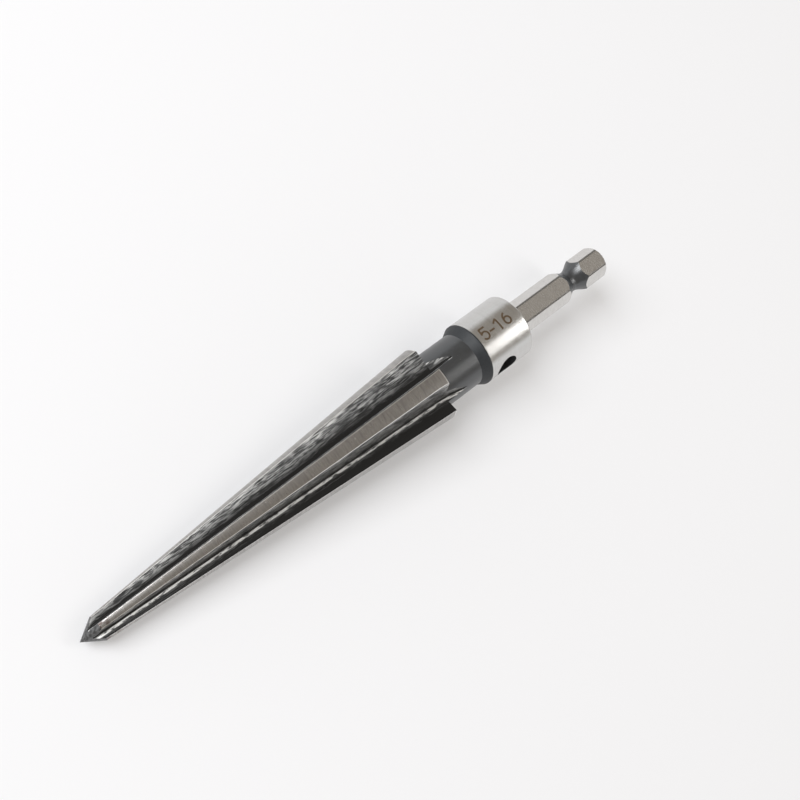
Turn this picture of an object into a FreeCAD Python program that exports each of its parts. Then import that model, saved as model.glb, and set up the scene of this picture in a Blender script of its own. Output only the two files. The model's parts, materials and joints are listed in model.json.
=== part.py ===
import FreeCAD, Part
import math
import os

os.makedirs("parts", exist_ok=True)
Vec = FreeCAD.Vector

# Sizes are in millimetres and angles in degrees.
# The tool is built round the X axis, from its point to its drive end.
# Stations along the axis are counted from the front face of the collar.

# Fluted head: a cone with straight ribs, and a blunt point ahead of it
small_dia = 5.0
large_dia = 16.0
head_len = 77.0
nose_len = 3.7
rib_bevel = 0.12

# Neck and flare between the ribs and the collar
neck_dia = 11.5
neck_len = 9.2
flare_len = 1.8
flare_rim = 0.3

# Collar with its cross hole for a tommy bar
collar_dia = 13.5
collar_len = 11.3
collar_bevel = 0.3
hole_dia = 5.0
hole_station = 4.3
hole_turn = 69.0

# Hexagon drive shank, with the holding groove of a quick-change bit
hex_flats = 6.35
hex_corner_dia = 7.1
hex_len = 26.5
hex_turn = -4.6
hex_end_bevel = 0.5
groove_from_end = 11.6
groove_front_len = 2.2
groove_dia = 4.6
groove_floor = 0.9
groove_back_len = 2.7
groove_back_sag = 0.16

# Flutes: one single-angle disc cutter, fed along the head and lifted out on the neck
flute_count = 5
cutter_offset = -0.51
face_angle = 14.2
back_angle = 80.6
corner_radius = 0.35
floor_radius = 4.57
floor_slope = 2.444
cutter_dia = 70.0
runout_before_rib_end = 3.2

# Stations that follow from the lengths
flare_front = -(flare_len + flare_rim)
rib_end = flare_front - neck_len
head_front = rib_end - head_len
point = head_front - nose_len
shank_end = collar_len + hex_len
runout = rib_end - runout_before_rib_end


def revolved(outline):
    """Turn an outline of (station, radius) corners into a solid round the axis."""
    wire = Part.makePolygon([Vec(x, 0, r) for x, r in outline + outline[:1]])
    return Part.Face(wire).revolve(Vec(0, 0, 0), Vec(1, 0, 0), 360)


def turned_body():
    """The head, neck, flare and collar, before the flutes are cut."""
    slope = (large_dia - small_dia) / 2 / head_len
    outline = [
        (point, 0),
        (head_front, small_dia / 2),
        (rib_end - rib_bevel, large_dia / 2 - slope * rib_bevel),
        (rib_end, large_dia / 2 - rib_bevel),
        (rib_end, neck_dia / 2),
        (flare_front, neck_dia / 2),
        (-flare_rim, collar_dia / 2),
        (collar_len - collar_bevel, collar_dia / 2),
        (collar_len, collar_dia / 2 - collar_bevel),
        (collar_len, 0),
    ]
    return revolved(outline)


def shank():
    """The hexagon bar, turned down at its corners, its groove and its end."""
    start = collar_len - 1.0
    corner = hex_corner_dia / 2
    length = shank_end - start
    side = hex_flats / math.sqrt(3)
    angles = [math.radians(30 + 60 * k + hex_turn) for k in range(7)]
    wire = Part.makePolygon([Vec(start, -side * math.sin(a), side * math.cos(a)) for a in angles])
    bar = Part.Face(wire).extrude(Vec(length, 0, 0))
    cone_start = shank_end - groove_from_end
    floor_start = cone_start + groove_front_len
    floor_end = floor_start + groove_floor
    back = floor_end + groove_back_len
    floor = groove_dia / 2
    chord = math.hypot(groove_back_len, corner - floor)
    sag_x = groove_back_sag * (corner - floor) / chord
    sag_r = groove_back_sag * groove_back_len / chord
    middle = Vec((floor_end + back) / 2 + sag_x, 0, (floor + corner) / 2 - sag_r)
    edges = [
        Part.makePolygon([
            Vec(start, 0, 0),
            Vec(start, 0, corner),
            Vec(cone_start, 0, corner),
            Vec(floor_start, 0, floor),
            Vec(floor_end, 0, floor),
        ]),
        Part.Wire(Part.Arc(Vec(floor_end, 0, floor), middle, Vec(back, 0, corner)).toShape()),
        Part.makePolygon([
            Vec(back, 0, corner),
            Vec(shank_end - hex_end_bevel, 0, corner),
            Vec(shank_end, 0, corner - hex_end_bevel),
            Vec(shank_end, 0, 0),
            Vec(start, 0, 0),
        ]),
    ]
    turned = Part.Face(Part.Wire(edges)).revolve(Vec(0, 0, 0), Vec(1, 0, 0), 360)
    return bar.common(turned)


def cutter_section(station, floor, up):
    """The cutter's V, as a face. Its corner is at the given floor height, rounded; up is its feed side."""
    across = Vec(0, -1, 0)
    corner = Vec(station, 0, 0) + across * cutter_offset + floor
    face_dir = across * math.sin(math.radians(face_angle)) + up * math.cos(math.radians(face_angle))
    back_dir = across * -math.sin(math.radians(back_angle)) + up * math.cos(math.radians(back_angle))
    half = math.radians(face_angle + back_angle) / 2
    cut_back = corner_radius / math.tan(half)
    middle_dir = (face_dir + back_dir).normalize()
    middle = corner + middle_dir * (corner_radius / math.sin(half) - corner_radius)
    face_low = corner + face_dir * cut_back
    back_low = corner + back_dir * cut_back
    face_top = corner + face_dir * large_dia * 0.6
    back_top = corner + back_dir * large_dia * 0.75
    arc = Part.Arc(face_low, middle, back_low).toShape()
    sides = Part.makePolygon([back_low, back_top, back_top + up * large_dia * 0.5, face_top, face_low])
    return Part.Face(Part.Wire([arc] + sides.Edges))


def flute_cutter():
    """The space that the cutter sweeps: a straight pass along the head, then the disc that stays."""
    feed = Vec(0, 0, 1)
    slope = math.radians(floor_slope)
    along = Vec(math.cos(slope), 0, math.sin(slope))
    up = Vec(-math.sin(slope), 0, math.cos(slope))
    end_floor = floor_radius - math.tan(slope) * runout_before_rib_end
    pass_len = (runout - point + 4.0) / math.cos(slope)
    section = cutter_section(runout, feed * end_floor, up)
    straight = section.extrude(along * -pass_len)
    hub = Vec(runout, 0, end_floor) + up * (cutter_dia / 2)
    disc = section.copy()
    disc.rotate(hub, Vec(0, 1, 0), 2.0)
    disc = disc.revolve(hub, Vec(0, 1, 0), -42.0)
    return straight.fuse(disc)


def side_turn(radius, floor, angle, side):
    """The angle from the feed direction at which a side of the V leaves a circle of this radius."""
    dx = side * math.sin(math.radians(angle))
    dy = math.cos(math.radians(angle))
    half_b = cutter_offset * dx + floor * dy
    reach = -half_b + math.sqrt(half_b ** 2 - cutter_offset ** 2 - floor ** 2 + radius ** 2)
    return math.degrees(math.atan2(cutter_offset + reach * dx, floor + reach * dy))


def cross_hole():
    """The space of the round hole through the collar."""
    reach = collar_dia / 2 + 1.0
    hole = Part.makeCylinder(hole_dia / 2, 2 * reach, Vec(hole_station, 0, -reach), Vec(0, 0, 1))
    hole.rotate(Vec(0, 0, 0), Vec(1, 0, 0), hole_turn)
    return hole


# At the large end the flute's two edges stand at these angles from its feed direction
lead_turn = side_turn(large_dia / 2, floor_radius, face_angle, 1)
back_turn = side_turn(large_dia / 2, floor_radius, back_angle, -1)
half_gap = (lead_turn - back_turn) / 2

# The gap between the two lowest ribs faces straight down
first_flute = 180 - (lead_turn + back_turn) / 2

cutter = flute_cutter()
cutters = []
for number in range(flute_count):
    tool = cutter.copy()
    tool.rotate(Vec(0, 0, 0), Vec(1, 0, 0), first_flute + 360 / flute_count * number)
    cutters.append(tool)

reamer = turned_body().cut(cutters)
reamer = reamer.fuse(shank())
reamer = reamer.cut(cross_hole()).removeSplitter()

# The tool lies on the edges of its two lowest ribs, so its point end dips
tip_floor = floor_radius - math.tan(math.radians(floor_slope)) * head_len
tip_turn = side_turn(small_dia / 2, tip_floor, face_angle, 1) + first_flute - 180
high_end = large_dia / 2 * math.cos(math.radians(half_gap))
low_end = small_dia / 2 * math.cos(math.radians(tip_turn))
rest_tilt = math.degrees(math.atan((high_end - low_end) / head_len))
reamer.rotate(Vec(0, 0, 0), Vec(0, 1, 0), -rest_tilt)
box = reamer.optimalBoundingBox(False, False)
reamer.translate(Vec(-(box.XMin + box.XMax) / 2, -(box.YMin + box.YMax) / 2, -box.ZMin))

reamer.exportStep("parts/reamer.step")
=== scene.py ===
import json
import math

import bmesh
import bpy
from mathutils import Matrix, Vector


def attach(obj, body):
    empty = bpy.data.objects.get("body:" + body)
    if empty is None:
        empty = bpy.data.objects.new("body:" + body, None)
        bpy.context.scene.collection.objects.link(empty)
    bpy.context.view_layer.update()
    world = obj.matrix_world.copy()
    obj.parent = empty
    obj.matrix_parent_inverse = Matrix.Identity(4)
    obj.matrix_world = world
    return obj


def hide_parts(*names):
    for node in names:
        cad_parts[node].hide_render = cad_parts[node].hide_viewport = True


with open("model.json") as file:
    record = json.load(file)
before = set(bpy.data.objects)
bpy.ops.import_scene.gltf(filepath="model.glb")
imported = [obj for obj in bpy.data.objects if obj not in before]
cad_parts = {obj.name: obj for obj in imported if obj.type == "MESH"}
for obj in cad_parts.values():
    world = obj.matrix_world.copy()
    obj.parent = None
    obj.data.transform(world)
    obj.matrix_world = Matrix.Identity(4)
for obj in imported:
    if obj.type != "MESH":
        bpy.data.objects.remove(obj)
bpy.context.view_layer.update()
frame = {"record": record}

bl_info = {
    "name": "Taper reamer",
    "version": (1, 0, 0),
    "blender": (4, 5, 0),
    "location": "3D View > Sidebar > Reamer",
    "description": "Makes a straight-fluted taper reamer with its ground and blackened finishes, and a small studio",
    "category": "Object",
}

mounts = {mount["name"]: mount for mount in frame["record"]["mounts"]}
MM = 0.001

# The tool's own axis. It lies on two ribs, so it rises a little towards the drive end.
AXIS = Vector(mounts["hex_shank"]["axis"]).normalized()
RISE = math.atan2(AXIS.z, AXIS.x)
HOLE_STATION = 4.3 * MM
COLLAR_FRONT = Vector(mounts["cross_hole"]["pos_m"]) - AXIS * HOLE_STATION
TO_ROW = Matrix.Translation(COLLAR_FRONT) @ Matrix.Rotation(-RISE, 4, "Y")

# How near corners of neighbouring pitches weld, and how wide the node trees are laid out
WELD = 2e-6
NODES_IN_ROW = 12

# The first strip of the flute's long side is the worn edge of the land before it, up to this part of the leg
HEEL_LEG = 0.016

# Black oxide is a hard glossy layer, so it shines more than paint does
OXIDE_IOR = 1.9


def length(name, description, default_mm):
    """A property that holds a length, given here in millimetres."""
    return bpy.props.FloatProperty(
        name=name, description=description, default=default_mm * MM, unit="LENGTH", precision=5)


def angle(name, description, default_deg):
    """A property that holds an angle, given here in degrees."""
    return bpy.props.FloatProperty(
        name=name, description=description, default=math.radians(default_deg), unit="ROTATION", subtype="ANGLE")


def linear(code):
    """Scene-linear colour of an sRGB hex value."""
    parts = [int(code[i:i + 2], 16) / 255 for i in (1, 3, 5)]
    return [p / 12.92 if p <= 0.04045 else ((p + 0.055) / 1.055) ** 2.4 for p in parts]


def colour(name, description, code):
    """A property that holds a finish's colour."""
    return bpy.props.FloatVectorProperty(
        name=name, description=description, default=linear(code), subtype="COLOR", min=0, max=1)


class HeadSizes(bpy.types.PropertyGroup):
    small_dia: length("Small end", "Diameter over the ribs at the front of the cone", 5.0)
    large_dia: length("Large end", "Diameter over the ribs at the back of the cone", 16.0)
    head_len: length("Cone length", "Length of the tapered part", 77.0)
    nose_len: length("Nose length", "Length of the blunt point ahead of the cone", 3.7)
    rib_bevel: length("Rib bevel", "Small bevel at the back end of each rib", 0.12)
    flute_count: bpy.props.IntProperty(name="Flutes", description="Number of straight flutes", default=5, min=2)
    corner_offset: length("Corner offset", "Distance of the flute's corner from the centre plane", -0.51)
    corner_radius: length("Corner radius", "Rounding in the flute's corner", 0.35)
    face_angle: angle("Face angle", "Lean of the cutting face from the feed direction", 14.2)
    back_angle: angle("Back angle", "Lean of the flute's long side from the feed direction", 80.6)
    floor_radius: length("Floor radius", "Height of the flute's corner above the axis at the large end", 4.57)
    floor_slope: angle("Floor slope", "Rise of the flute's corner towards the large end", 2.444)
    cutter_dia: length("Cutter", "Diameter of the disc cutter that lifts out of the flute", 70.0)
    runout: length("Run-out", "Distance ahead of the ribs' end where the cutter lifts", 3.2)
    heel_round: length("Heel rounding", "How far the land's trailing edge is worn down", 0.035)


class NeckSizes(bpy.types.PropertyGroup):
    neck_dia: length("Neck", "Diameter of the round neck", 11.5)
    neck_len: length("Neck length", "Length from the ribs' end to the flare", 9.2)
    flare_len: length("Flare length", "Length of the cone between neck and collar", 1.8)
    flare_rim: length("Flare rim", "Dark rim at the collar's front edge", 0.3)
    collar_dia: length("Collar", "Diameter of the ground collar", 13.5)
    collar_len: length("Collar length", "Length of the ground collar", 11.3)
    collar_round: length("Collar rounding", "Rounding at the collar's back edge", 0.3)
    hole_dia: length("Cross hole", "Diameter of the hole through the collar", 5.0)
    hole_turn: angle("Hole turn", "Turn of the hole's axis from straight up", 69.0)


class ShankSizes(bpy.types.PropertyGroup):
    flats: length("Across flats", "Width of the hexagon across its flats", 6.35)
    corner_dia: length("Across corners", "Diameter of the turned-down corners", 7.1)
    hex_len: length("Shank length", "Length of the hexagon behind the collar", 26.5)
    hex_turn: angle("Turn", "Turn of the first flat from straight up", -4.6)
    end_bevel: length("End bevel", "Bevel at the drive end", 0.5)
    groove_from_end: length("Groove place", "Distance of the groove's front from the drive end", 11.6)
    groove_front: length("Groove front", "Length of the groove's front cone", 2.2)
    groove_dia: length("Groove diameter", "Diameter of the groove's floor", 4.6)
    groove_floor: length("Groove floor", "Length of the groove's floor", 0.9)
    groove_back: length("Groove back", "Length of the groove's hollow back", 2.7)
    groove_sag: length("Groove hollow", "Depth of the hollow in the groove's back", 0.16)


class FinishColours(bpy.types.PropertyGroup):
    land: colour("Ground lands", "Ground steel on the outside of the ribs", "#BCB9B6")
    stain: colour("Stains", "Brown spots near the point", "#4A2E26")
    # Colour of worn edges and nicks, and also of the painted highlights on the lands' edges, the ribs' back bevels and
    # the flutes' corners
    edge: colour("Edges and painted highlights", "Polished rib edges, and painted highlights on edges and flute corners", "#F4F3F1")
    collar: colour("Ground collar", "Ground steel of the collar", "#D2D1CF")
    flat: colour("Ground flats", "Ground steel of the hexagon", "#DCDAD7")
    corner: colour("Drawn corners", "Duller steel of the hexagon's corners", "#8E8C89")
    oxide: colour("Black oxide", "Oxide on the milled flutes", "#0C0D0E")
    scraped: colour("Scraped oxide", "Grey strokes in the flutes", "#656566")
    glint: colour("Bare strokes", "Steel that shows through the oxide", "#DADAD8")
    satin: colour("Satin black", "Oxide on the turned neck and groove", "#25282B")
    mark: colour("Marks", "Burnt lines of the numbers", "#5C4A36")
    floor: colour("Floor", "Pale studio floor", "#F1F1F3")


class StageSizes(bpy.types.PropertyGroup):
    key_glow: bpy.props.FloatProperty(
        name="Soft box", description="Radiance of the soft box on the left", default=7.2, min=0)
    strip_glow: bpy.props.FloatProperty(
        name="Strip light", description="Radiance of the narrow light on the right", default=4.8, min=0)
    overhead: colour("Overhead", "Warm grey of the room above the camera", "#A29C94")
    walls: colour("Walls", "Pale walls all round", "#FDFEFF")
    lens: bpy.props.FloatProperty(
        name="Lens", description="Focal length on a 36 mm sensor", default=56.869, unit="CAMERA")


def add(tree, kind, inputs=(), out=0, **settings):
    """Add a node, set and link it. Inputs are given in order or by name; the wanted output comes back."""
    node = tree.nodes.new(kind)
    row, column = divmod(len(tree.nodes), NODES_IN_ROW)
    node.location = (column * 190, row * -260)
    for key, value in settings.items():
        setattr(node, key, value)
    sockets = [s for s in node.inputs if s.enabled]
    for key, value in inputs.items() if isinstance(inputs, dict) else enumerate(inputs):
        join(tree, sockets[key] if isinstance(key, int) else next(s for s in sockets if s.name == key), value)
    sockets = [s for s in node.outputs if s.enabled]
    return sockets[out] if isinstance(out, int) else next(s for s in sockets if s.name == out)


def join(tree, socket, value):
    """Link an input to what another node gives, or set it."""
    if isinstance(value, Term):
        value = value.socket
    if isinstance(value, bpy.types.NodeSocket):
        tree.links.new(value, socket)
    else:
        socket.default_value = value


def reckon(operation, *terms):
    """A math node on these terms, as a new term."""
    tree = next(term.tree for term in terms if isinstance(term, Term))
    return Term(tree, add(tree, "ShaderNodeMath", terms, operation=operation))


class Term:
    """What a node gives, to be reckoned with as plain numbers are. Each step adds one math node."""

    def __init__(self, tree, socket):
        self.tree, self.socket = tree, socket

    def __add__(self, other):
        return reckon("ADD", self, other)

    def __sub__(self, other):
        return reckon("SUBTRACT", self, other)

    def __rsub__(self, other):
        return reckon("SUBTRACT", other, self)

    def __mul__(self, other):
        return reckon("MULTIPLY", self, other)

    def __truediv__(self, other):
        return reckon("DIVIDE", self, other)

    def __rtruediv__(self, other):
        return reckon("DIVIDE", other, self)

    def __abs__(self):
        return reckon("ABSOLUTE", self)

    def low(self, other):
        return reckon("MINIMUM", self, other)

    def high(self, other):
        return reckon("MAXIMUM", self, other)

    def above(self, other):
        return reckon("GREATER_THAN", self, other)

    def below(self, other):
        return reckon("LESS_THAN", self, other)

    def sin(self):
        return reckon("SINE", self)

    def cos(self):
        return reckon("COSINE", self)

    def tan(self):
        return reckon("TANGENT", self)

    def root(self):
        return reckon("SQRT", self)

    def ramp(self, low, high, to_low=0.0, to_high=1.0):
        """The range from low to high drawn out to the one from to_low to to_high, and flat outside it."""
        return Term(self.tree, add(self.tree, "ShaderNodeMapRange", [self, low, high, to_low, to_high], clamp=True))


def walked(leg, number):
    """How much of this leg of the section lies behind a point, from 0 to 1."""
    return (leg - number).high(0.0).low(1.0)


def corner_height(k):
    """Height of the flute's corner: a straight rising pass, and then the arc of the disc that lifts out."""
    passed = k["station"].low(k["Run-out"])
    height = (passed - k["Rib end"]) * k["Floor slope"].tan() + k["Floor radius"]
    disc = k["Cutter"] * 0.5
    from_hub = (k["station"] - k["Run-out"]).high(0.0) + disc * k["Floor slope"].sin()
    return height + (disc * k["Floor slope"].cos() - (disc * disc - from_hub * from_hub).root())


def side_of_v(k, lean, side, height, room, tangent):
    """Direction of one side of the V, and how far along it the outer circle is met."""
    x, y = k[lean].sin() * side, k[lean].cos()
    slant = height * y + k["Corner offset"] * x
    return x, y, ((slant * slant + room).high(0.0).root() - slant).high(tangent)


def flute_section(k):
    """One pitch of the fluted head, walked in four legs: long side, rounded corner, cutting face, land."""
    outer, leg, offset = k["outer"], k["leg"], k["Corner offset"]
    height = corner_height(k)
    opening = k["Face angle"] + k["Back angle"]
    tangent = k["Corner radius"] / (opening * 0.5).tan()
    room = outer * outer - (height * height + offset * offset)
    face_x, face_y, face_reach = side_of_v(k, "Face angle", 1.0, height, room, tangent)
    back_x, back_y, back_reach = side_of_v(k, "Back angle", -1.0, height, room, tangent)
    back_part, arc_part, face_part, land_part = [walked(leg, number) for number in range(4)]
    back_at = (tangent - back_reach) * back_part + back_reach
    face_on = (face_reach - tangent) * face_part
    arc_start = math.pi / 2 - k["Back angle"]
    arc_angle = arc_part * (opening - math.pi) + arc_start
    flute_x = back_x * back_at + offset + (arc_start.sin() - arc_angle.sin()) * k["Corner radius"] + face_x * face_on
    flute_y = back_y * back_at + height + (arc_start.cos() - arc_angle.cos()) * k["Corner radius"] + face_y * face_on

    lead_turn = reckon("ARCTAN2", face_x * face_reach + offset, face_y * face_reach + height)
    heel_turn = reckon("ARCTAN2", back_x * back_reach + offset, back_y * back_reach + height)
    land_width = heel_turn + k["pitch"] - lead_turn
    land_turn = land_width * land_part + lead_turn
    on_land = leg.above(3.0)
    x = (outer * land_turn.sin() - flute_x) * on_land + flute_x
    y = (outer * land_turn.cos() - flute_y) * on_land + flute_y

    # Nothing stands past the turned outline, and the land's trailing edge is worn down a little
    kept = (outer / (x * x + y * y).root()).low(1.0)
    cut_into = room.above(0.0)
    pitch_ends = leg.below(0.001) + leg.above(3.999)
    worn = pitch_ends * cut_into * k["Heel rounding"]
    drawn_in = kept * ((outer - worn) / outer.high(1e-6)) * k["shrink"]
    k["x"], k["y"] = x * drawn_in, y * drawn_in

    # The unrolled surface: the way across it, and the distance from the nearest edge of a land
    land_arc = land_width * outer
    land_on = land_arc * land_part
    k["across"] = arc_part * (tangent * 2.0) + face_on - back_at + land_on
    flute_gap = (back_reach - back_at).low(face_reach - tangent - face_on)
    land_gap = land_on.low(land_arc - land_on)
    k["edge"] = (land_gap - flute_gap) * on_land + flute_gap
    land_or_heel = on_land.high(leg.below(HEEL_LEG))
    k["ground"] = land_or_heel * k["station"].above(k["Head front"])
    k["cut"] = (1.0 - land_or_heel) * cut_into


def hex_section(k):
    """One sixth of the shank, walked in three legs: a turned corner, a flat, the next turned corner."""
    outer, leg, station = k["outer"], k["leg"], k["station"]
    half_sixth = math.radians(30)
    apothem = k["Across flats"] * 0.5
    meet = reckon("ARCCOSINE", (apothem / outer).low(1.0)).high(math.radians(4))
    first_part, flat_part, last_part = [walked(leg, number) for number in range(3)]
    corner_turn = (first_part + last_part) * (half_sixth - meet) - half_sixth
    turn = flat_part * (meet * 2.0) + corner_turn
    radius = (apothem / turn.cos()).low(outer)
    drawn_in = radius * k["shrink"]
    k["x"], k["y"] = turn.sin() * drawn_in, turn.cos() * drawn_in
    k["across"] = turn * radius
    k["edge"] = (turn - meet) * radius
    k["ground"] = leg.above(1.0) * leg.below(2.0) * outer.above(apothem)
    k["cut"] = station.above(k["Groove start"]) * station.below(k["Groove end"]) * (1.0 - k["ground"])


def rule_tree(name, section, sizes, angles):
    """A Geometry Nodes tree that bends a flat net into one pitch of a bar and repeats it round the axis.

    The net's x is the station, y the outer radius and z the leg of the section. Its attribute shrink draws a row in.
    The section works out where a point goes (x, y), its place on the unrolled surface (across, edge), and whether it
    is on a ground or a cut surface.
    """
    tree = bpy.data.node_groups.new(name, "GeometryNodeTree")

    def entry(title, kind, subtype=None):
        item = tree.interface.new_socket(title, in_out="INPUT", socket_type="NodeSocket" + kind)
        if subtype:
            item.subtype = subtype

    def xyz(*parts):
        return add(tree, "ShaderNodeCombineXYZ", parts)

    def turned(x, y):
        return add(tree, "FunctionNodeEulerToRotation", [xyz(x, y, 0.0)])

    def named(title):
        return Term(tree, add(tree, "GeometryNodeInputNamedAttribute", {"Name": title}, data_type="FLOAT"))

    def store(shape, title, value, data_type, domain):
        return add(tree, "GeometryNodeStoreNamedAttribute", {"Geometry": shape, "Name": title, "Value": value},
                   data_type=data_type, domain=domain)

    entry("Geometry", "Geometry")
    tree.interface.new_socket("Geometry", in_out="OUTPUT", socket_type="NodeSocketGeometry")
    for title in sizes:
        entry(title, "Float", "DISTANCE")
    for title in angles + ["First turn", "Rise"]:
        entry(title, "Float", "ANGLE")
    for title in ("Turned finish", "Land finish", "Cut finish"):
        entry(title, "Material")
    entry("Count", "Int")
    entry("Place", "Vector", "TRANSLATION")
    k = {s.name: Term(tree, s) for s in tree.nodes.new("NodeGroupInput").outputs if s.name}
    net = add(tree, "ShaderNodeSeparateXYZ", [add(tree, "GeometryNodeInputPosition")]).node.outputs
    k.update({title: Term(tree, part) for title, part in zip(("station", "outer", "leg"), net)})
    k["shrink"] = named("shrink")
    k["pitch"] = 2 * math.pi / k["Count"]
    section(k)

    # lay, leg and kind are for the finishes; grain is the surface's own map in metres
    shape = store(k["Geometry"], "lay", xyz(k["station"], k["across"], k["edge"]), "FLOAT_VECTOR", "CORNER")
    shape = store(shape, "grain", xyz(k["across"], k["station"], 0.0), "FLOAT2", "CORNER")
    shape = store(shape, "leg", k["leg"], "FLOAT", "CORNER")
    whole = k["shrink"].above(0.99)
    shape = store(shape, "kind", k["cut"] * whole * 2.0 + k["ground"] * whole, "FLOAT", "FACE")
    shape = add(tree, "GeometryNodeSetPosition",
                {"Geometry": shape, "Position": xyz(k["station"], k["x"] * -1.0, k["y"])})
    spots = add(tree, "GeometryNodePoints", {"Count": k["Count"]})
    number = Term(tree, add(tree, "GeometryNodeInputIndex"))
    turn = turned(number * k["pitch"] + k["First turn"], 0.0)
    ring = add(tree, "GeometryNodeInstanceOnPoints", {"Points": spots, "Instance": shape, "Rotation": turn})
    ring = store(ring, "flute", number, "FLOAT", "INSTANCE")
    solid = add(tree, "GeometryNodeRealizeInstances", {"Geometry": ring})
    solid = add(tree, "GeometryNodeMergeByDistance", {"Geometry": solid, "Distance": WELD})
    solid = add(tree, "GeometryNodeTransform",
                {"Geometry": solid, "Translation": k["Place"], "Rotation": turned(0.0, k["Rise"] * -1.0)})
    kind = named("kind")
    solid = add(tree, "GeometryNodeSetMaterial", {"Geometry": solid, "Material": k["Turned finish"]})
    for number, title in ((1.0, "Land finish"), (2.0, "Cut finish")):
        solid = add(tree, "GeometryNodeSetMaterial", {
            "Geometry": solid, "Selection": reckon("COMPARE", kind, number, 0.1), "Material": k[title]})
    tree.links.new(solid, tree.nodes.new("NodeGroupOutput").inputs[0])
    return tree


def flat_net(name, rows, legs):
    """A net of quads for a rule tree: one row for each (station, radius, shrink), one column for each leg value."""
    mesh = bpy.data.meshes.new(name)
    points = [(station, radius, leg) for station, radius, shrink in rows for leg in legs]
    width = len(legs)
    faces = []
    for row in range(len(rows) - 1):
        for column in range(width - 1):
            first = row * width + column
            faces.append((first, first + 1, first + width + 1, first + width))
    mesh.from_pydata(points, [], faces)
    shrink = mesh.attributes.new("shrink", "FLOAT", "POINT")
    shrink.data.foreach_set("value", [row[2] for row in rows for leg in legs])
    return bpy.data.objects.new(name, mesh)


def run_rule(net, tree, values, name, sharp):
    """Run the tree on the net and keep its result as a plain mesh object in the row frame."""
    bpy.context.scene.collection.objects.link(net)
    modifier = net.modifiers.new("rule", "NODES")
    modifier.node_group = tree
    for item in tree.interface.items_tree:
        if item.in_out == "INPUT" and item.name in values:
            modifier[item.identifier] = values[item.name]
    bpy.context.view_layer.update()
    graph = bpy.context.evaluated_depsgraph_get()
    mesh = bpy.data.meshes.new_from_object(net.evaluated_get(graph), preserve_all_data_layers=True, depsgraph=graph)
    net.modifiers.remove(modifier)
    bpy.data.objects.remove(net)
    # The net's own empty slot and any finish that no face has are left out
    numbers = [face.material_index for face in mesh.polygons]
    used = sorted({n for n in numbers if mesh.materials[n]})
    kept = [mesh.materials[n] for n in used]
    mesh.materials.clear()
    for material in kept:
        mesh.materials.append(material)
    mesh.polygons.foreach_set("material_index", [used.index(n) for n in numbers])
    return finished(name, mesh, sharp)


def finished(name, mesh, sharp):
    """Close and smooth a mesh, and make it the finished object of that name."""
    mesh.name = name
    work = bmesh.new()
    work.from_mesh(mesh)
    bmesh.ops.dissolve_degenerate(work, edges=work.edges, dist=1e-7)
    bmesh.ops.recalc_face_normals(work, faces=work.faces)
    work.to_mesh(mesh)
    work.free()
    mesh.shade_smooth()
    mesh.set_sharp_from_angle(angle=math.radians(sharp))
    piece = bpy.data.objects.new(name, mesh)
    bpy.context.scene.collection.objects.link(piece)
    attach(piece, "root")
    return piece


def spread(start, end, step):
    """Even stations from start up to, but not at, the end."""
    count = max(1, math.ceil(abs(end - start) / step - 1e-9))
    return [start + (end - start) * i / count for i in range(count)]


def along(corners, step):
    """Rows (station, radius, 1) along straight lines between (station, radius) corners, the last one included."""
    rows = []
    for (a, ra), (b, rb) in zip(corners, corners[1:]):
        rows += [(s, ra + (rb - ra) * (s - a) / (b - a), 1.0) for s in spread(a, b, step)]
    return rows + [(*corners[-1], 1.0)]


def cap(station, radius, outward):
    """Rows that close an end with a flat face."""
    rows = [(station, radius, share) for share in (0.0, 0.3, 0.6, 0.85)]
    return rows if outward < 0 else rows[::-1]


PITCH_LEGS = (
    [0, HEEL_LEG] + [i / 14 for i in range(1, 14)] + [1 + i / 8 for i in range(8)] + [2 + i / 10 for i in range(10)]
    + [3, 3.02, 3.06] + [3 + i / 16 for i in range(2, 15)] + [3.94, 3.98, 4]
)
HEX_LEGS = [i / 4 for i in range(4)] + [1 + i / 12 for i in range(12)] + [2 + i / 4 for i in range(5)]


def stations(head, neck):
    """The stations that follow from the lengths, counted from the collar's front."""
    flare_front = -(neck.flare_len + neck.flare_rim)
    rib_end = flare_front - neck.neck_len
    front = rib_end - head.head_len
    return flare_front, rib_end, front


def flute_values(head, neck):
    """Inputs of the flute rule."""
    _, rib_end, front = stations(head, neck)
    lead = side_turn(head, head.face_angle, 1)
    heel = side_turn(head, head.back_angle, -1)
    return {
        "Head front": front, "Rib end": rib_end, "Run-out": rib_end - head.runout, "Cutter": head.cutter_dia,
        "Corner offset": head.corner_offset, "Corner radius": head.corner_radius,
        "Floor radius": head.floor_radius, "Floor slope": head.floor_slope,
        "Face angle": head.face_angle, "Back angle": head.back_angle, "Count": head.flute_count,
        "Heel rounding": head.heel_round,
        "First turn": math.pi - (lead + heel) / 2, "Place": COLLAR_FRONT, "Rise": RISE,
    }


def side_turn(head, lean, side):
    """Angle from the feed direction at which a side of the V meets the large end's circle."""
    dx, dy = side * math.sin(lean), math.cos(lean)
    x, y, outer = head.corner_offset, head.floor_radius, head.large_dia / 2
    half = x * dx + y * dy
    reach = -half + math.sqrt(half * half - x * x - y * y + outer * outer)
    return math.atan2(x + reach * dx, y + reach * dy)


def flute_rule():
    """The flutes' tree, made once."""
    name = "Flutes round a bar"
    if name in bpy.data.node_groups:
        return bpy.data.node_groups[name]
    return rule_tree(
        name, flute_section,
        ["Head front", "Rib end", "Run-out", "Cutter", "Corner offset", "Corner radius", "Floor radius",
         "Heel rounding"],
        ["Floor slope", "Face angle", "Back angle"])


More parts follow.
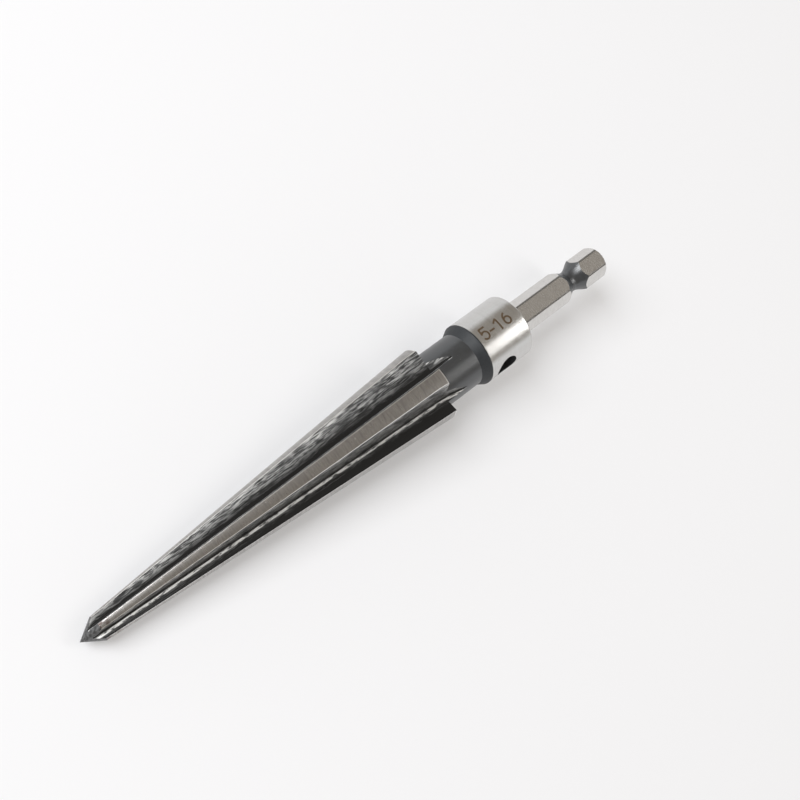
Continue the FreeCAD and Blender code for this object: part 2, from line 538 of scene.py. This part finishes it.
class Finish:
    """A material under construction: its tree, its principled shader and short ways to common coordinates."""

    def __init__(self, name):
        self.material = bpy.data.materials.new(name)
        self.material.use_nodes = True
        self.tree = self.material.node_tree
        self.shader = self.tree.nodes["Principled BSDF"]

    def add(self, kind, inputs=(), out=0, **settings):
        return add(self.tree, kind, inputs, out, **settings)

    def set(self, **values):
        """Set or link sockets of the shader; an underscore in a name stands for a space."""
        for key, value in values.items():
            join(self.tree, self.shader.inputs[key.replace("_", " ")], value)

    def vector(self, operation, *vectors):
        return self.add("ShaderNodeVectorMath", vectors, operation=operation)

    def attribute(self, name):
        return Term(self.tree, self.add("ShaderNodeAttribute", attribute_name=name, out="Fac"))

    def lay(self, *per_mm):
        """Surface coordinates (along the axis, across, from the edge), scaled to so many turns per millimetre."""
        mapped = self.add("ShaderNodeAttribute", attribute_name="lay", out="Vector")
        return self.vector("MULTIPLY", mapped, [p / MM for p in per_mm])

    def on_surface(self, part):
        """Millimetres on the unrolled surface: X along the axis, Y across, Z from the nearest edge."""
        return Term(self.tree, self.add("ShaderNodeSeparateXYZ", [self.lay(1, 1, 1)], out=part))

    def flute_space(self, along, across):
        """Surface coordinates that move on from flute to flute, so that no two are alike."""
        step = self.add("ShaderNodeCombineXYZ", [0.0, 0.0, self.attribute("flute")])
        step = self.vector("MULTIPLY", step, [0, 0, 17.3])
        return self.vector("ADD", self.lay(along, across, 0), step)

    def axis_space(self, *per_mm):
        """Object coordinates turned to the tool's own axis, scaled to so many turns per millimetre."""
        spot = self.add("ShaderNodeTexCoord", out="Object")
        spot = self.add("ShaderNodeMapping", {"Vector": spot, "Location": COLLAR_FRONT, "Rotation": (0, -RISE, 0)},
                        vector_type="TEXTURE")
        return self.vector("MULTIPLY", spot, [p / MM for p in per_mm])

    def noise(self, vector, scale=1.0, detail=3.0, rough=0.55):
        inputs = {"Vector": vector, "Scale": scale, "Detail": detail, "Roughness": rough}
        return Term(self.tree, self.add("ShaderNodeTexNoise", inputs))

    def flute_noise(self, along, across, **more):
        return self.noise(self.flute_space(along, across), **more)

    def strokes(self, along, across, seed, thin, wide):
        """Long thin wavy scratches along a flute: the lines where a stretched noise passes its middle, broken up."""
        where = self.vector("ADD", self.flute_space(along, across), [seed, 0, seed])
        line = abs(self.noise(where, detail=2) - 0.5).ramp(thin, wide, 1, 0)
        broken = self.noise(self.vector("ADD", where, [2.3, 1.1, 9.1 + seed]), scale=2.4, detail=2)
        return line * broken.ramp(0.42, 0.56)

    def mix(self, share, *both):
        """Mix two colours, each a plain one or one that a node gives."""
        both = [c if isinstance(c, bpy.types.NodeSocket) else (*c, 1) for c in both]
        return self.add("ShaderNodeMix", [share, *both], data_type="RGBA")

    def mix_value(self, share, a, b):
        return Term(self.tree, self.add("ShaderNodeMix", [share, a, b], data_type="FLOAT"))

    def bump(self, height, depth_mm):
        """A bump whose full height range stands for a real depth."""
        return self.add("ShaderNodeBump", {"Strength": 1.0, "Distance": depth_mm * MM, "Height": height})

    def speckled(self, spot, dark, light, rough, depth_mm):
        """Let colour, gloss and height all follow one fine noise."""
        self.set(Base_Color=self.mix(spot.ramp(0.3, 0.7), dark, light), Roughness=spot.ramp(0.3, 0.7, *rough),
                 Normal=self.bump(spot, depth_mm))
        return self.material


def shade(colour, share):
    """A colour made darker or lighter."""
    return [c * share for c in colour]


def oxide_flutes(colours):
    """Black oxide on milled tool steel. The long side is scraped grey in wavy strokes along the flute, and is painted
    darker towards the corner as painted shade from the rib beside it; the cutting face is smooth and nearly black, with
    a broken light line at its foot that is partly worn-through steel and partly a painted highlight. The strokes are
    drawn coarser than real ones, which are finer than the picture can show."""
    f = Finish("black_oxide_milled_steel")
    leg, across = f.attribute("leg"), f.on_surface("Y")
    wave = f.add("ShaderNodeCombineXYZ", [0.0, f.flute_noise(0.16, 0.3, detail=2) * 3.0, 0.0])
    tone = f.noise(f.vector("ADD", f.flute_space(0.34, 3.0), wave), detail=3, rough=0.65)
    stroke = f.strokes(0.16, 1.5, 0.0, 0.035, 0.075)
    stroke = stroke.high(f.strokes(0.24, 2.4, 5.3, 0.025, 0.065) * 0.8)
    patch = f.flute_noise(0.18, 0.6, detail=2).ramp(0.35, 0.65, 0.45, 1)
    # Share of scraping: on the long side it falls off towards the corner as painted shade from the rib beside it; on
    # the cutting face only a little near its foot
    scrape_and_corner_shade = f.mix_value(leg.above(1.5), leg.ramp(0.1, 0.88, 1, 0), across.ramp(0.7, 1.6, 0.14, 0.0))
    # The rounded corner at the cutting face's foot: a broken light line in the edge colour, half metallic, partly
    # worn-through steel and partly a painted highlight
    foot = across.ramp(0.14, 0.2) * across.ramp(0.6, 0.72, 1, 0)
    foot = foot * f.flute_noise(0.5, 2.2, detail=3, rough=0.65).ramp(0.4, 0.5, 0.05, 1)
    grey = f.mix(scrape_and_corner_shade * tone.ramp(0.38, 0.64, 0.05, 0.75), colours.oxide, colours.scraped)
    base = f.mix(stroke * (scrape_and_corner_shade * patch), grey, colours.glint)
    height = (stroke * 0.5 + tone) * scrape_and_corner_shade.ramp(0, 1, 0.15, 1)
    f.set(Base_Color=f.mix(foot, base, colours.edge), Metallic=foot * 0.6,
          Roughness=f.mix_value(foot, scrape_and_corner_shade.ramp(0, 0.6, 0.25, 0.4), 0.45), Normal=f.bump(height, 0.05))
    return f.material


def oxide_turned(colours):
    """Black oxide on a turned surface: satin dark grey, with a soft highlight and a few bright nicks."""
    f = Finish("black_oxide_turned_steel")
    spot = f.noise(f.axis_space(1.4, 1.4, 1.4), detail=4)
    ring = f.noise(f.axis_space(10.0, 0.4, 0.4), detail=2)
    nick = f.noise(f.axis_space(1.9, 2.4, 2.4), detail=1)
    base = f.mix(spot.ramp(0.3, 0.7), shade(colours.satin, 0.8), shade(colours.satin, 1.15))
    f.set(Base_Color=f.mix(nick.ramp(0.77, 0.8), base, colours.scraped), IOR=OXIDE_IOR,
          Roughness=spot.ramp(0.3, 0.7, 0.28, 0.36), Normal=f.bump(ring, 0.006))
    return f.material


def oxide_flare(colours):
    """Black oxide on a cone cut with a broad form tool: rougher than the neck, so that it hardly shines."""
    f = Finish("black_oxide_form_cut_steel")
    spot = f.noise(f.axis_space(1.8, 1.8, 1.8), detail=4)
    return f.speckled(spot, shade(colours.satin, 0.8), shade(colours.satin, 1.15), (0.5, 0.6), 0.01)


def oxide_nose(colours):
    """Black oxide over coarse grinding on the blunt point and the ribs' back ends: dark, with grey scraped spots."""
    f = Finish("black_oxide_ground_steel")
    spot = f.noise(f.axis_space(2.5, 2.5, 2.5), detail=4)
    f.set(Base_Color=f.mix(spot.ramp(0.42, 0.72), colours.oxide, colours.scraped), IOR=OXIDE_IOR,
          Roughness=spot.ramp(0.3, 0.7, 0.28, 0.4), Normal=f.bump(spot, 0.03))
    return f.material


def oxide_bore(colours):
    """Black oxide inside the cross hole: matt, because scale is never polished off in there."""
    f = Finish("black_oxide_drilled_steel")
    spot = f.noise(f.axis_space(2.0, 2.0, 2.0))
    return f.speckled(spot, shade(colours.oxide, 0.4), shade(colours.oxide, 0.8), (0.6, 0.75), 0.02)


def ground_land(colours):
    """Cylindrically ground tool steel: fine lines straight across the land, a light thin line along each edge and on
    the back bevel, which are worn edges with a painted highlight, and brown stains near the point. The lines are drawn
    coarser than real ones, which the picture couldn't show."""
    f = Finish("ground_steel_land")
    _, rib_end, front = stations(bpy.context.scene.reamer_head, bpy.context.scene.reamer_neck)
    line = f.flute_noise(2.6, 0.3, detail=4, rough=0.75)
    soft = f.flute_noise(0.5, 0.9)
    nick = f.flute_noise(1.6, 2.2, detail=1)
    # Thin light lines along both edges of each land: worn edges drawn with a painted highlight
    worn_edge_and_highlight = (soft * 0.12 + f.on_surface("Z")).ramp(0.12, 0.2, 1, 0)
    stone = f.mix(line.ramp(0.3, 0.7), shade(colours.land, 0.52), colours.land)
    stone = f.mix(soft.ramp(0.35, 0.7, 0, 0.35), stone, shade(colours.land, 0.7))
    stone = f.mix(nick.ramp(0.77, 0.8), stone, colours.edge)
    base = f.mix(worn_edge_and_highlight, stone, colours.edge)
    station = f.on_surface("X")
    # A thin light line on the bevel at the rib's back end: painted highlight
    base = f.mix(station.ramp(rib_end / MM - 0.26, rib_end / MM - 0.2), base, colours.edge)
    stain = station.ramp(front / MM, front / MM + 4.3, 0.8, 0) * f.flute_noise(0.9, 0.9).ramp(0.5, 0.58)
    f.set(Base_Color=f.mix(stain, base, colours.stain), Metallic=1.0,
          Roughness=line.ramp(0.3, 0.7, 0.34, 0.26), Normal=f.bump(line, 0.012))
    return f.material


def ground_round(colours):
    """Cylindrically ground steel: rings too fine to count, which draw a highlight out along the axis."""
    f = Finish("ground_steel_collar")
    ring = f.noise(f.axis_space(9.0, 0.12, 0.12), detail=4, rough=0.7)
    soft = f.noise(f.axis_space(0.6, 0.5, 0.5))
    f.set(Base_Color=f.mix(ring.ramp(0.3, 0.7), shade(colours.collar, 0.86), colours.collar), Metallic=1.0,
          Roughness=soft.ramp(0.3, 0.7, 0.2, 0.27), Anisotropic=0.6, Normal=f.bump(ring, 0.006),
          Tangent=f.add("ShaderNodeTangent", direction_type="UV_MAP", uv_map="grain"))
    return f.material


def ground_flat(colours):
    """Surface-ground steel: fine lines straight across each flat of the hexagon, with cloudy darker places. The
    lines are drawn coarser than real ones, which the picture couldn't show."""
    f = Finish("ground_steel_flat")
    line = f.noise(f.lay(6.0, 0.35, 0), detail=4, rough=0.7)
    soft = f.noise(f.axis_space(0.7, 0.7, 0.7))
    base = f.mix(line.ramp(0.3, 0.7), shade(colours.flat, 0.8), colours.flat)
    f.set(Base_Color=f.mix(soft.ramp(0.45, 0.75, 0, 0.3), base, shade(colours.flat, 0.7)), Metallic=1.0,
          Roughness=line.ramp(0.3, 0.7, 0.3, 0.2), Normal=f.bump(line, 0.01))
    return f.material


def drawn_corner(colours):
    """Steel as drawn, on the hexagon's turned-down corners and its end: duller than the ground flats."""
    f = Finish("drawn_steel_corner")
    f.set(Metallic=1.0)
    spot = f.noise(f.axis_space(0.5, 3.0, 3.0), detail=4)
    return f.speckled(spot, shade(colours.corner, 0.8), colours.corner, (0.24, 0.34), 0.01)


def burnt_mark(colours):
    """Laser-burnt lines in ground steel: matt brown, a little uneven."""
    f = Finish("laser_burnt_steel")
    spot = f.noise(f.axis_space(4.0, 4.0, 4.0))
    f.set(Base_Color=f.mix(spot.ramp(0.3, 0.7), shade(colours.mark, 0.7), colours.mark),
          Metallic=0.3, Roughness=0.6, Normal=f.bump(spot, 0.01))
    return f.material


def finish(name):
    """A finish by its maker's name, made once."""
    if name not in FINISHES:
        FINISHES[name] = MAKERS[name](bpy.context.scene.reamer_colours)
    return FINISHES[name]


FINISHES = {}
MAKERS = {
    "flutes": oxide_flutes,
    "turned": oxide_turned,
    "flare": oxide_flare,
    "nose": oxide_nose,
    "bore": oxide_bore,
    "lands": ground_land,
    "collar": ground_round,
    "flats": ground_flat,
    "corners": drawn_corner,
    "marks": burnt_mark,
}


class OBJECT_OT_reamer_head(bpy.types.Operator):
    """Make the fluted cone and its blunt point, and let it stand for the modelled tool"""
    bl_idname = "object.reamer_head"
    bl_label = "Fluted head"

    def execute(self, context):
        head, neck = context.scene.reamer_head, context.scene.reamer_neck
        _, rib_end, front = stations(head, neck)
        small, large = head.small_dia / 2, head.large_dia / 2
        slope = (large - small) / head.head_len
        back = rib_end - head.rib_bevel
        lifting = rib_end - head.runout
        lift_outer, back_outer = large - slope * head.runout, large - slope * head.rib_bevel
        nose_step, cone_step, lift_step = 0.22 * MM, 1.0 * MM, 0.3 * MM
        rows = along([(front - head.nose_len, 0.0), (front, small)], nose_step)[:-1]
        rows += along([(front, small), (lifting, lift_outer)], cone_step)[:-1]
        rows += along([(lifting, lift_outer), (back, back_outer)], lift_step)
        rows += [(rib_end, large - head.rib_bevel, 1.0)] + cap(rib_end, large - head.rib_bevel, 1)
        values = flute_values(head, neck)
        values.update({
            "Turned finish": finish("nose"), "Land finish": finish("lands"), "Cut finish": finish("flutes")})
        piece = run_rule(flat_net("head_net", rows, PITCH_LEGS), flute_rule(), values, "fluted_head", 28)
        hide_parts("reamer")
        return {"FINISHED"}


class OBJECT_OT_reamer_neck(bpy.types.Operator):
    """Make the round neck and flare, with the tails of the flutes running out on it"""
    bl_idname = "object.reamer_neck"
    bl_label = "Neck and flare"

    def execute(self, context):
        head, neck = context.scene.reamer_head, context.scene.reamer_neck
        flare_front, rib_end, _ = stations(head, neck)
        radius, rim = neck.neck_dia / 2, neck.collar_dia / 2
        tails = rib_end + 5.5 * MM
        tail_step, neck_step, flare_step = 0.15 * MM, 0.5 * MM, 0.3 * MM
        rows = cap(rib_end, radius, -1)
        rows += along([(rib_end, radius), (tails, radius)], tail_step)[:-1]
        rows += along([(tails, radius), (flare_front, radius)], neck_step)[:-1]
        rows += along([(flare_front, radius), (-neck.flare_rim, rim), (0.0, rim)], flare_step)
        rows += cap(0.0, rim, 1)
        values = flute_values(head, neck)
        values.update({name: finish("turned") for name in ("Turned finish", "Land finish")})
        values["Cut finish"] = finish("flutes")
        piece = run_rule(flat_net("neck_net", rows, PITCH_LEGS), flute_rule(), values, "neck_and_flare", 12)
        piece.data.materials.append(finish("flare"))
        back = TO_ROW.inverted()
        for face in piece.data.polygons:
            if (back @ face.center).x > flare_front:
                face.material_index = len(piece.data.materials) - 1
        return {"FINISHED"}


class OBJECT_OT_reamer_collar(bpy.types.Operator):
    """Make the ground collar with its cross hole"""
    bl_idname = "object.reamer_collar"
    bl_label = "Collar"

    def execute(self, context):
        neck = context.scene.reamer_neck
        outer, hole = neck.collar_dia / 2, neck.hole_dia / 2
        steps, margin, mouth = 16, 0.7 * MM, 0.16 * MM
        half_len, half_turn = hole + margin, math.asin(hole / outer) + math.radians(6)
        patch_rows = [HOLE_STATION + half_len * (2 * i / steps - 1) for i in range(steps + 1)]
        patch_turns = [half_turn * (2 * i / steps - 1) for i in range(steps + 1)]
        between = spread(half_turn, math.pi - half_turn, math.radians(3.2))[1:]
        turns = patch_turns + between + [math.pi + t for t in patch_turns] + [math.pi + t for t in between]
        far_start = steps + 1 + len(between)
        bend = neck.collar_round
        rounding = [(neck.collar_len - bend + bend * math.sin(a), outer - bend + bend * math.cos(a))
                    for a in [math.radians(18 * i) for i in range(6)]]
        levels = [(s, outer) for s in spread(0.0, patch_rows[0], 0.5 * MM) + patch_rows]
        levels += [(s, outer) for s in spread(patch_rows[-1], rounding[0][0], 0.6 * MM)[1:]] + rounding
        row0 = next(i for i, (s, r) in enumerate(levels) if abs(s - patch_rows[0]) < 1e-9)
        work = bmesh.new()

        def at(station, up, side):
            """A corner at a height along the hole's axis and a distance beside it."""
            c, s = math.cos(neck.hole_turn), math.sin(neck.hole_turn)
            return work.verts.new(TO_ROW @ Vector((station, -up * s - side * c, up * c - side * s)))

        def in_mouth(i, j, edge):
            """Whether a corner (edge 1) or a cell (edge 0) of the grid lies within one of the hole's two mouths."""
            return edge <= i - row0 < steps and any(edge <= j - first < steps for first in (0, far_start))

        grid = {(i, j): at(s, r * math.cos(t), r * math.sin(t))
                for i, (s, r) in enumerate(levels) for j, t in enumerate(turns) if not in_mouth(i, j, 1)}
        total = len(turns)
        for i in range(len(levels) - 1):
            for j in range(total):
                corners = [(i, j), (i, (j + 1) % total), (i + 1, (j + 1) % total), (i + 1, j)]
                if not in_mouth(i, j, 0):
                    work.faces.new([grid[c] for c in corners])
        for i in (0, len(levels) - 1):
            work.faces.new([grid[i, j] for j in range(total)])

        # Each mouth: rings that turn the square hole in the grid into a round one, and then its rounded edge
        rim = [(0, k) for k in range(steps)] + [(k, steps) for k in range(steps)]
        rim += [(steps, steps - k) for k in range(steps)] + [(steps - k, 0) for k in range(steps)]
        mouths = []
        for start, sign in ((0, 1), (far_start, -1)):
            edge = [(row0 + a, (start + b) % total) for a, b in rim]
            rings = [[grid[key] for key in edge]]
            spots = [(levels[i][0] - HOLE_STATION, turns[j] if sign > 0 else turns[j] - math.pi) for i, j in edge]
            rays = [math.atan2(outer * t, s) for s, t in spots]
            for share in (0.4, 0.75, 1.0):
                ring = []
                for (s, t), ray in zip(spots, rays):
                    round_s, round_t = (hole + mouth) * math.cos(ray), math.asin((hole + mouth) * math.sin(ray) / outer)
                    station, turn = HOLE_STATION + s + (round_s - s) * share, t + (round_t - t) * share
                    ring.append(at(station, sign * outer * math.cos(turn), sign * outer * math.sin(turn)))
                rings.append(ring)
            for wide, deep in ((0.08, 0.03), (0.03, 0.08), (0.0, 0.16)):
                ring = []
                for ray in rays:
                    side = (hole + wide * MM) * math.sin(ray)
                    up = math.sqrt(outer ** 2 - side ** 2) - deep * MM
                    ring.append(at(HOLE_STATION + (hole + wide * MM) * math.cos(ray), sign * up, sign * side))
                rings.append(ring)
            for number, (a, b) in enumerate(zip(rings, rings[1:])):
                self.bridge(work, a, b, int(number > 4))
            mouths.append(rings[-1])

        # The hole's wall joins the corners of the two mouths that lie on one line along it
        near, far = mouths
        line = (TO_ROW.to_3x3() @ Vector((0, -math.sin(neck.hole_turn), math.cos(neck.hole_turn)))).normalized()

        def beside(corner, other):
            way = other.co - corner.co
            return (way - line * way.dot(line)).length

        self.bridge(work, near, [min(far, key=lambda other: beside(corner, other)) for corner in near], 1)
        mesh = bpy.data.meshes.new("collar")
        work.to_mesh(mesh)
        work.free()
        mesh.materials.append(finish("collar"))
        mesh.materials.append(finish("bore"))
        piece = finished("ground_collar", mesh, 25)
        self.grain(piece.data, outer)
        return {"FINISHED"}

    @staticmethod
    def bridge(work, a, b, finish_number):
        """Join two closed rings of corners, one to one."""
        for k in range(len(a)):
            n = (k + 1) % len(a)
            work.faces.new([a[k], a[n], b[n], b[k]]).material_index = finish_number

    @staticmethod
    def grain(mesh, outer):
        """A map in metres whose first axis runs round the collar, for the highlight's direction."""
        back = TO_ROW.inverted()
        layer = mesh.uv_layers.new(name="grain")
        for face in mesh.polygons:
            middle = back @ face.center
            base = math.atan2(-middle.y, middle.z)
            for loop in face.loop_indices:
                spot = back @ mesh.vertices[mesh.loops[loop].vertex_index].co
                turn = math.atan2(-spot.y, spot.z)
                turn += round((base - turn) / (2 * math.pi)) * 2 * math.pi
                layer.data[loop].uv = (turn * outer, spot.x)


class OBJECT_OT_reamer_shank(bpy.types.Operator):
    """Make the hexagon drive shank with its turned groove"""
    bl_idname = "object.reamer_shank"
    bl_label = "Shank"

    def execute(self, context):
        neck, shank = context.scene.reamer_neck, context.scene.reamer_shank
        start = neck.collar_len - 0.4 * MM
        end = neck.collar_len + shank.hex_len
        outer, floor = shank.corner_dia / 2, shank.groove_dia / 2
        cone = end - shank.groove_from_end
        low = cone + shank.groove_front
        rise = low + shank.groove_floor
        top = rise + shank.groove_back
        bevel = end - shank.end_bevel
        long_step, fine_step, bevel_step = 1.0 * MM, 0.12 * MM, 0.1 * MM
        hollow = [(rise + (top - rise) * q, floor + (outer - floor) * q - 4 * shank.groove_sag * q * (1 - q))
                  for q in [i / 12 for i in range(13)]]
        rows = cap(start, outer, -1)
        rows += along([(start, outer), (cone, outer)], long_step)[:-1]
        rows += along([(cone, outer), (low, floor), (rise, floor)], fine_step)[:-1]
        rows += along(hollow, fine_step)[:-1]
        rows += along([(top, outer), (bevel, outer)], long_step)[:-1]
        rows += along([(bevel, outer), (end, outer - shank.end_bevel)], bevel_step)
        rows += cap(end, outer - shank.end_bevel, 1)
        tree = rule_tree("Flats round a bar", hex_section, ["Across flats", "Groove start", "Groove end"], [])
        values = {
            "Across flats": shank.flats, "Groove start": cone, "Groove end": top, "Count": 6,
            "First turn": shank.hex_turn, "Place": COLLAR_FRONT, "Rise": RISE,
            "Turned finish": finish("corners"), "Land finish": finish("flats"), "Cut finish": finish("turned"),
        }
        run_rule(flat_net("shank_net", rows, HEX_LEGS), tree, values, "hexagon_shank", 18)
        return {"FINISHED"}


# Numbers as pen strokes on a grid of one unit of height: outlines of (across, up), an arc as (centre, radii, from, to)
STROKES = {
    "5": [[(0.60, 1.0), (0.10, 1.0), (0.05, 0.55)], [(0.05, 0.55), ("arc", 0.30, 0.33, 0.31, 0.33, 125, -140)]],
    "-": [[(0.0, 0.38), (0.36, 0.38)]],
    "1": [[(0.02, 0.76), (0.34, 1.0), (0.34, 0.0)]],
    "6": [[("arc", 0.32, 0.31, 0.29, 0.31, 0, 360)], [("arc", 0.58, 0.36, 0.55, 0.64, 180, 112)]],
}

# Where each sign starts, in millimetres from the collar's front
SIGNS = (("5", 1.12), ("-", 3.3), ("1", 4.95), ("6", 7.1))


class OBJECT_OT_reamer_numbers(bpy.types.Operator):
    """Draw the size numbers on the collar as thin burnt lines"""
    bl_idname = "object.reamer_numbers"
    bl_label = "Size numbers"

    def execute(self, context):
        neck = context.scene.reamer_neck
        outer = neck.collar_dia / 2
        tall, pen, proud, sunk = 2.5 * MM, 0.19 * MM, 0.012 * MM, -0.05 * MM
        foot = math.radians(-5.2)
        work = bmesh.new()
        for sign, start in SIGNS:
            for stroke in STROKES[sign]:
                path = self.path(stroke)
                left, right = [], []
                for k, spot in enumerate(path):
                    before, after = path[max(k - 1, 0)], path[min(k + 1, len(path) - 1)]
                    way = (after - before).normalized()
                    side = Vector((-way.y, way.x)) * pen
                    end = way * pen * ((k == len(path) - 1) - (k == 0))
                    left.append(spot * tall + end + side)
                    right.append(spot * tall + end - side)
                rings = []
                for a, b in zip(left, right):
                    ring = []
                    for spot, depth in ((a, proud), (b, proud), (b, sunk), (a, sunk)):
                        turn, r = foot - spot.y / outer, outer + depth
                        place = Vector((start * MM + spot.x, -r * math.sin(turn), r * math.cos(turn)))
                        ring.append(work.verts.new(TO_ROW @ place))
                    rings.append(ring)
                for a, b in zip(rings, rings[1:]):
                    for k in range(4):
                        n = (k + 1) % 4
                        work.faces.new([a[k], a[n], b[n], b[k]])
                work.faces.new(rings[0])
                work.faces.new(rings[-1])
        mesh = bpy.data.meshes.new("numbers")
        work.to_mesh(mesh)
        work.free()
        mesh.materials.append(finish("marks"))
        finished("size_numbers", mesh, 40)
        return {"FINISHED"}

    @staticmethod
    def path(stroke):
        """Points of a stroke, with its arcs drawn in short steps."""
        points = []
        for item in stroke:
            if item[0] == "arc":
                _, cx, cy, rx, ry, start, stop = item
                count = max(4, round(abs(stop - start) / 15))
                for k in range(count + 1):
                    a = math.radians(start + (stop - start) * k / count)
                    points.append(Vector((cx + rx * math.cos(a), cy + ry * math.sin(a))))
            else:
                last = points[-1] if points else Vector(item)
                count = max(1, round((Vector(item) - last).length / 0.08))
                points += [last.lerp(Vector(item), (k + 1) / count) for k in range(count)]
        return [p for k, p in enumerate(points) if k == 0 or (p - points[k - 1]).length > 1e-4]


# The fitted camera, in metres in the row frame, and the lamps: place, width along the tool's side, depth, colour
CAMERA_SPOT = (-0.1087978, 0.0122996, 0.2178801)
CAMERA_RIGHT = Vector((0.7011019, -0.5744662, 0.4224273))
CAMERA_UP = Vector((0.5210767, 0.8171583, 0.2464375))
SOFT_BOX = ((-0.46, 0.50, 0.70), 0.60, 0.60, (0.975, 1.0, 1.03))
STRIP_LIGHT = ((0.366, -0.220, 0.45), 0.30, 0.11, (1.0, 1.0, 1.0))
FLOOR_HALF = 3.0

# The floor is lifted towards white between these distances, from the one share to the other
FLOOR_LIFT = (0.3, 1.1, 0.22, 1.0)

# The walls give way to the room above between these heights on the sphere of directions
WALLS_END = (0.27, 0.37)


class OBJECT_OT_reamer_stage(bpy.types.Operator):
    """Set up the pale floor, the soft boxes, the surround and the camera"""
    bl_idname = "object.reamer_stage"
    bl_label = "Studio"

    def execute(self, context):
        scene, stage, colours = context.scene, context.scene.reamer_stage, context.scene.reamer_colours
        mesh = bpy.data.meshes.new("floor")
        corners = [(x * FLOOR_HALF, y * FLOOR_HALF, 0) for x, y in ((-1, -1), (1, -1), (1, 1), (-1, 1))]
        mesh.from_pydata(corners, [], [(0, 1, 2, 3)])
        floor = bpy.data.objects.new("floor", mesh)
        scene.collection.objects.link(floor)
        mesh.materials.append(self.floor_finish(colours.floor))
        self.surround(scene, stage.overhead, stage.walls)
        self.lamp("soft_box", *SOFT_BOX, stage.key_glow)
        self.lamp("strip_light", *STRIP_LIGHT, stage.strip_glow)
        camera = bpy.data.objects.new("camera", bpy.data.cameras.new("camera"))
        axes = Matrix((CAMERA_RIGHT, CAMERA_UP, CAMERA_RIGHT.cross(CAMERA_UP))).transposed()
        camera.matrix_world = Matrix.Translation(CAMERA_SPOT) @ axes.to_4x4()
        camera.data.sensor_width = 36
        camera.data.lens = stage.lens
        camera.data.clip_start = 0.01
        scene.collection.objects.link(camera)
        scene.camera = camera
        scene.view_settings.view_transform = "Standard"
        return {"FINISHED"}

    @staticmethod
    def lamp(name, spot, wide, deep, tint, glow):
        """A lamp that faces the tool, with its short side along the tool's axis and a plain radiance."""
        light = bpy.data.lights.new(name, "AREA")
        light.shape, light.size, light.size_y, light.color = "RECTANGLE", wide, deep, tint
        light.energy = glow * wide * deep * math.pi
        box = bpy.data.objects.new(name, light)
        away = Vector(spot).normalized()
        across = AXIS.cross(away).normalized()
        axes = Matrix((across, away.cross(across), away)).transposed()
        box.matrix_world = Matrix.Translation(spot) @ axes.to_4x4()
        bpy.context.scene.collection.objects.link(box)

    @staticmethod
    def floor_finish(pale):
        """Matt paper. What the camera and the metal see of it is lifted towards white, a little under the tool so
        that its shadow stays, and wholly far away."""
        f = Finish("matt_paper")
        f.set(Base_Color=(*pale, 1), Roughness=0.9, Specular_IOR_Level=0.0)
        path = {s.name: Term(f.tree, s) for s in f.add("ShaderNodeLightPath").node.outputs}
        seen = path["Is Camera Ray"].high(path["Is Glossy Ray"]).high(path["Is Transmission Ray"])
        spot = f.add("ShaderNodeTexCoord", out="Object")
        far = Term(f.tree, f.add("ShaderNodeVectorMath", [spot], out="Value", operation="LENGTH"))
        lifted = seen * far.ramp(*FLOOR_LIFT)
        glow = f.add("ShaderNodeEmission", [(1, 1, 1, 1), 1.0])
        both = f.add("ShaderNodeMixShader", [lifted, f.shader.outputs[0], glow])
        f.tree.links.new(both, f.tree.nodes["Material Output"].inputs["Surface"])
        return f.material

    @staticmethod
    def surround(scene, overhead, walls):
        """Plain light all round: pale walls low down, a warm grey room above, and white where the camera looks."""
        world = bpy.data.worlds.new("surround")
        scene.world = world
        world.use_nodes = True
        tree = world.node_tree
        way = add(tree, "ShaderNodeTexCoord", out="Object")
        high = Term(tree, add(tree, "ShaderNodeSeparateXYZ", [way], out="Z")).ramp(*WALLS_END)
        room = add(tree, "ShaderNodeMix", [high, (*walls, 1), (*overhead, 1)], data_type="RGBA")
        seen = add(tree, "ShaderNodeLightPath", out="Is Camera Ray")
        light = add(tree, "ShaderNodeMix", [seen, room, (1, 1, 1, 1)], data_type="RGBA")
        tree.links.new(light, tree.nodes["Background"].inputs["Color"])


class VIEW3D_PT_reamer(bpy.types.Panel):
    """Sizes, colours and steps of the taper reamer"""
    bl_label = "Taper reamer"
    bl_idname = "VIEW3D_PT_reamer"
    bl_space_type = "VIEW_3D"
    bl_region_type = "UI"
    bl_category = "Reamer"

    def draw(self, context):
        for title, group in GROUPS.items():
            box = self.layout.box()
            box.label(text=group.__name__)
            for key in group.__annotations__:
                box.prop(getattr(context.scene, title), key)
        for step in STEPS:
            self.layout.operator(step.bl_idname)


GROUPS = {
    "reamer_head": HeadSizes,
    "reamer_neck": NeckSizes,
    "reamer_shank": ShankSizes,
    "reamer_colours": FinishColours,
    "reamer_stage": StageSizes,
}
STEPS = (
    OBJECT_OT_reamer_stage,
    OBJECT_OT_reamer_head,
    OBJECT_OT_reamer_neck,
    OBJECT_OT_reamer_collar,
    OBJECT_OT_reamer_shank,
    OBJECT_OT_reamer_numbers,
)
CLASSES = (*GROUPS.values(), *STEPS, VIEW3D_PT_reamer)


def register():
    for item in CLASSES:
        bpy.utils.register_class(item)
    for title, group in GROUPS.items():
        setattr(bpy.types.Scene, title, bpy.props.PointerProperty(type=group))


def unregister():
    for title in GROUPS:
        delattr(bpy.types.Scene, title)
    for item in reversed(CLASSES):
        bpy.utils.unregister_class(item)


def main():
    register()
    bpy.ops.object.reamer_stage()
    bpy.ops.object.reamer_head()
    bpy.ops.object.reamer_neck()
    bpy.ops.object.reamer_collar()
    bpy.ops.object.reamer_shank()
    bpy.ops.object.reamer_numbers()


if __name__ == "__main__":
    main()
